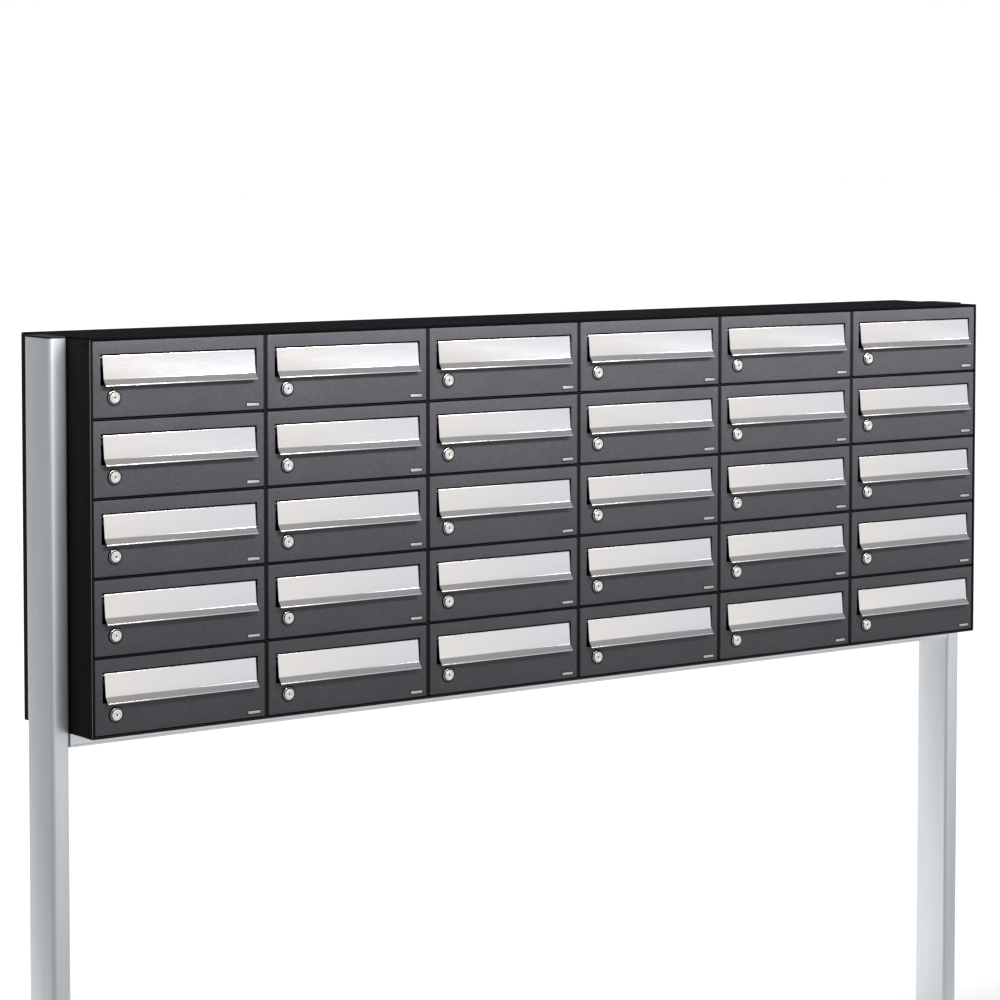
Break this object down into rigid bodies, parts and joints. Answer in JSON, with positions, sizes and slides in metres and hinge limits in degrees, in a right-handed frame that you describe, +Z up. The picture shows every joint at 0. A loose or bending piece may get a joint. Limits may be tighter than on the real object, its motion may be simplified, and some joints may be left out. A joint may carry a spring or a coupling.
{
  "type": "cluster mailbox unit",
  "caption": "Freestanding bank of lockable letter boxes in one sheet-steel casing, held between two aluminium posts, with hinged doors, hinged mail flaps and cam locks.",
  "frame": {"origin": "on the floor, under the middle of the unit", "axes": "+X to the right seen from the front, the doors face -Y, +Z up"},
  "size_m": [2.4744, 0.3, 1.75],
  "materials": {
    "casing_black": "black fine-texture powder coat",
    "door_anthracite": "anthracite fine-texture powder coat",
    "flap_steel": "stainless steel, brushed along its length",
    "lock_chrome": "nickel-plated zinc, polished",
    "aluminium": "satin anodised extrusion",
    "zinc_steel": "hot-dip galvanised steel",
    "cap_plastic": "moulded black plastic"
  },
  "bodies": {
    "frame": {"post_left": "aluminium", "post_right": "aluminium", "post_cap_left": "cap_plastic", "post_cap_right": "cap_plastic", "base_plate_left": "zinc_steel", "base_plate_right": "zinc_steel", "rail_spigot_left": "zinc_steel", "rail_spigot_right": "zinc_steel", "bottom_rail": "aluminium", "side_panel_left": "casing_black", "side_panel_right": "casing_black", "roof_panel": "casing_black", "floor_panel": "casing_black", "back_panel": "casing_black", "column_body_1": "casing_black", "column_body_2": "casing_black", "column_body_3": "casing_black", "column_body_4": "casing_black", "column_body_5": "casing_black", "column_body_6": "casing_black"},
    "door_c1_r1": {"door_c1_r1": "door_anthracite"},
    "flap_c1_r1": {"flap_c1_r1": "flap_steel"},
    "lock_c1_r1": {"lock_c1_r1": "lock_chrome"},
    "door_c1_r2": {"door_c1_r2": "door_anthracite"},
    "flap_c1_r2": {"flap_c1_r2": "flap_steel"},
    "lock_c1_r2": {"lock_c1_r2": "lock_chrome"},
    "door_c1_r3": {"door_c1_r3": "door_anthracite"},
    "flap_c1_r3": {"flap_c1_r3": "flap_steel"},
    "lock_c1_r3": {"lock_c1_r3": "lock_chrome"},
    "door_c1_r4": {"door_c1_r4": "door_anthracite"},
    "flap_c1_r4": {"flap_c1_r4": "flap_steel"},
    "lock_c1_r4": {"lock_c1_r4": "lock_chrome"},
    "door_c1_r5": {"door_c1_r5": "door_anthracite"},
    "flap_c1_r5": {"flap_c1_r5": "flap_steel"},
    "lock_c1_r5": {"lock_c1_r5": "lock_chrome"},
    "door_c2_r1": {"door_c2_r1": "door_anthracite"},
    "door_c2_r2": {"door_c2_r2": "door_anthracite"},
    "door_c2_r3": {"door_c2_r3": "door_anthracite"},
    "door_c2_r4": {"door_c2_r4": "door_anthracite"},
    "door_c2_r5": {"door_c2_r5": "door_anthracite"},
    "door_c3_r1": {"door_c3_r1": "door_anthracite"},
    "door_c3_r2": {"door_c3_r2": "door_anthracite"},
    "door_c3_r3": {"door_c3_r3": "door_anthracite"},
    "door_c3_r4": {"door_c3_r4": "door_anthracite"},
    "door_c3_r5": {"door_c3_r5": "door_anthracite"},
    "door_c4_r1": {"door_c4_r1": "door_anthracite"},
    "door_c4_r2": {"door_c4_r2": "door_anthracite"},
    "door_c4_r3": {"door_c4_r3": "door_anthracite"},
    "door_c4_r4": {"door_c4_r4": "door_anthracite"},
    "door_c4_r5": {"door_c4_r5": "door_anthracite"},
    "door_c5_r1": {"door_c5_r1": "door_anthracite"},
    "door_c5_r2": {"door_c5_r2": "door_anthracite"},
    "door_c5_r3": {"door_c5_r3": "door_anthracite"},
    "door_c5_r4": {"door_c5_r4": "door_anthracite"},
    "door_c5_r5": {"door_c5_r5": "door_anthracite"},
    "door_c6_r1": {"door_c6_r1": "door_anthracite"},
    "door_c6_r2": {"door_c6_r2": "door_anthracite"},
    "door_c6_r3": {"door_c6_r3": "door_anthracite"},
    "door_c6_r4": {"door_c6_r4": "door_anthracite"},
    "door_c6_r5": {"door_c6_r5": "door_anthracite"}
  },
  "joints": [
    {"name": "door_c1_r1_hinge", "type": "hinge", "parent": "frame", "child": "door_c1_r1", "pos_m": [-0.78, -0.13, 1.67195], "axis": [0, 0, 1], "range_deg": [0, 90]},
    {"name": "flap_c1_r1_hinge", "type": "hinge", "parent": "door_c1_r1", "child": "flap_c1_r1", "pos_m": [-0.9625, -0.129, 1.71345], "axis": [-1, 0, 0], "range_deg": [0, 75]},
    {"name": "lock_c1_r1_turn", "type": "hinge", "parent": "door_c1_r1", "child": "lock_c1_r1", "pos_m": [-1.106, -0.135, 1.63775], "axis": [0, 1, 0], "range_deg": [0, 90]},
    {"name": "door_c1_r2_hinge", "type": "hinge", "parent": "frame", "child": "door_c1_r2", "pos_m": [-0.78, -0.13, 1.52195], "axis": [0, 0, 1], "range_deg": [0, 90]},
    {"name": "flap_c1_r2_hinge", "type": "hinge", "parent": "door_c1_r2", "child": "flap_c1_r2", "pos_m": [-0.9625, -0.129, 1.56345], "axis": [-1, 0, 0], "range_deg": [0, 75]},
    {"name": "lock_c1_r2_turn", "type": "hinge", "parent": "door_c1_r2", "child": "lock_c1_r2", "pos_m": [-1.106, -0.135, 1.48775], "axis": [0, 1, 0], "range_deg": [0, 90]},
    {"name": "door_c1_r3_hinge", "type": "hinge", "parent": "frame", "child": "door_c1_r3", "pos_m": [-0.78, -0.13, 1.37195], "axis": [0, 0, 1], "range_deg": [0, 90]},
    {"name": "flap_c1_r3_hinge", "type": "hinge", "parent": "door_c1_r3", "child": "flap_c1_r3", "pos_m": [-0.9625, -0.129, 1.41345], "axis": [-1, 0, 0], "range_deg": [0, 75]},
    {"name": "lock_c1_r3_turn", "type": "hinge", "parent": "door_c1_r3", "child": "lock_c1_r3", "pos_m": [-1.106, -0.135, 1.33775], "axis": [0, 1, 0], "range_deg": [0, 90]},
    {"name": "door_c1_r4_hinge", "type": "hinge", "parent": "frame", "child": "door_c1_r4", "pos_m": [-0.78, -0.13, 1.22195], "axis": [0, 0, 1], "range_deg": [0, 90]},
    {"name": "flap_c1_r4_hinge", "type": "hinge", "parent": "door_c1_r4", "child": "flap_c1_r4", "pos_m": [-0.9625, -0.129, 1.26345], "axis": [-1, 0, 0], "range_deg": [0, 75]},
    {"name": "lock_c1_r4_turn", "type": "hinge", "parent": "door_c1_r4", "child": "lock_c1_r4", "pos_m": [-1.106, -0.135, 1.18775], "axis": [0, 1, 0], "range_deg": [0, 90]},
    {"name": "door_c1_r5_hinge", "type": "hinge", "parent": "frame", "child": "door_c1_r5", "pos_m": [-0.78, -0.13, 1.07195], "axis": [0, 0, 1], "range_deg": [0, 90]},
    {"name": "flap_c1_r5_hinge", "type": "hinge", "parent": "door_c1_r5", "child": "flap_c1_r5", "pos_m": [-0.9625, -0.129, 1.11345], "axis": [-1, 0, 0], "range_deg": [0, 75]},
    {"name": "lock_c1_r5_turn", "type": "hinge", "parent": "door_c1_r5", "child": "lock_c1_r5", "pos_m": [-1.106, -0.135, 1.03775], "axis": [0, 1, 0], "range_deg": [0, 90]},
    {"name": "door_c2_r1_hinge", "type": "hinge", "parent": "frame", "child": "door_c2_r1", "pos_m": [-0.395, -0.13, 1.67195], "axis": [0, 0, 1], "range_deg": [0, 90]},
    {"name": "door_c2_r2_hinge", "type": "hinge", "parent": "frame", "child": "door_c2_r2", "pos_m": [-0.395, -0.13, 1.52195], "axis": [0, 0, 1], "range_deg": [0, 90]},
    {"name": "door_c2_r3_hinge", "type": "hinge", "parent": "frame", "child": "door_c2_r3", "pos_m": [-0.395, -0.13, 1.37195], "axis": [0, 0, 1], "range_deg": [0, 90]},
    {"name": "door_c2_r4_hinge", "type": "hinge", "parent": "frame", "child": "door_c2_r4", "pos_m": [-0.395, -0.13, 1.22195], "axis": [0, 0, 1], "range_deg": [0, 90]},
    {"name": "door_c2_r5_hinge", "type": "hinge", "parent": "frame", "child": "door_c2_r5", "pos_m": [-0.395, -0.13, 1.07195], "axis": [0, 0, 1], "range_deg": [0, 90]},
    {"name": "door_c3_r1_hinge", "type": "hinge", "parent": "frame", "child": "door_c3_r1", "pos_m": [-0.01, -0.13, 1.67195], "axis": [0, 0, 1], "range_deg": [0, 90]},
    {"name": "door_c3_r2_hinge", "type": "hinge", "parent": "frame", "child": "door_c3_r2", "pos_m": [-0.01, -0.13, 1.52195], "axis": [0, 0, 1], "range_deg": [0, 90]},
    {"name": "door_c3_r3_hinge", "type": "hinge", "parent": "frame", "child": "door_c3_r3", "pos_m": [-0.01, -0.13, 1.37195], "axis": [0, 0, 1], "range_deg": [0, 90]},
    {"name": "door_c3_r4_hinge", "type": "hinge", "parent": "frame", "child": "door_c3_r4", "pos_m": [-0.01, -0.13, 1.22195], "axis": [0, 0, 1], "range_deg": [0, 90]},
    {"name": "door_c3_r5_hinge", "type": "hinge", "parent": "frame", "child": "door_c3_r5", "pos_m": [-0.01, -0.13, 1.07195], "axis": [0, 0, 1], "range_deg": [0, 90]},
    {"name": "door_c4_r1_hinge", "type": "hinge", "parent": "frame", "child": "door_c4_r1", "pos_m": [0.375, -0.13, 1.67195], "axis": [0, 0, 1], "range_deg": [0, 90]},
    {"name": "door_c4_r2_hinge", "type": "hinge", "parent": "frame", "child": "door_c4_r2", "pos_m": [0.375, -0.13, 1.52195], "axis": [0, 0, 1], "range_deg": [0, 90]},
    {"name": "door_c4_r3_hinge", "type": "hinge", "parent": "frame", "child": "door_c4_r3", "pos_m": [0.375, -0.13, 1.37195], "axis": [0, 0, 1], "range_deg": [0, 90]},
    {"name": "door_c4_r4_hinge", "type": "hinge", "parent": "frame", "child": "door_c4_r4", "pos_m": [0.375, -0.13, 1.22195], "axis": [0, 0, 1], "range_deg": [0, 90]},
    {"name": "door_c4_r5_hinge", "type": "hinge", "parent": "frame", "child": "door_c4_r5", "pos_m": [0.375, -0.13, 1.07195], "axis": [0, 0, 1], "range_deg": [0, 90]},
    {"name": "door_c5_r1_hinge", "type": "hinge", "parent": "frame", "child": "door_c5_r1", "pos_m": [0.76, -0.13, 1.67195], "axis": [0, 0, 1], "range_deg": [0, 90]},
    {"name": "door_c5_r2_hinge", "type": "hinge", "parent": "frame", "child": "door_c5_r2", "pos_m": [0.76, -0.13, 1.52195], "axis": [0, 0, 1], "range_deg": [0, 90]},
    {"name": "door_c5_r3_hinge", "type": "hinge", "parent": "frame", "child": "door_c5_r3", "pos_m": [0.76, -0.13, 1.37195], "axis": [0, 0, 1], "range_deg": [0, 90]},
    {"name": "door_c5_r4_hinge", "type": "hinge", "parent": "frame", "child": "door_c5_r4", "pos_m": [0.76, -0.13, 1.22195], "axis": [0, 0, 1], "range_deg": [0, 90]},
    {"name": "door_c5_r5_hinge", "type": "hinge", "parent": "frame", "child": "door_c5_r5", "pos_m": [0.76, -0.13, 1.07195], "axis": [0, 0, 1], "range_deg": [0, 90]},
    {"name": "door_c6_r1_hinge", "type": "hinge", "parent": "frame", "child": "door_c6_r1", "pos_m": [1.145, -0.13, 1.67195], "axis": [0, 0, 1], "range_deg": [0, 90]},
    {"name": "door_c6_r2_hinge", "type": "hinge", "parent": "frame", "child": "door_c6_r2", "pos_m": [1.145, -0.13, 1.52195], "axis": [0, 0, 1], "range_deg": [0, 90]},
    {"name": "door_c6_r3_hinge", "type": "hinge", "parent": "frame", "child": "door_c6_r3", "pos_m": [1.145, -0.13, 1.37195], "axis": [0, 0, 1], "range_deg": [0, 90]},
    {"name": "door_c6_r4_hinge", "type": "hinge", "parent": "frame", "child": "door_c6_r4", "pos_m": [1.145, -0.13, 1.22195], "axis": [0, 0, 1], "range_deg": [0, 90]},
    {"name": "door_c6_r5_hinge", "type": "hinge", "parent": "frame", "child": "door_c6_r5", "pos_m": [1.145, -0.13, 1.07195], "axis": [0, 0, 1], "range_deg": [0, 90]}
  ]
}
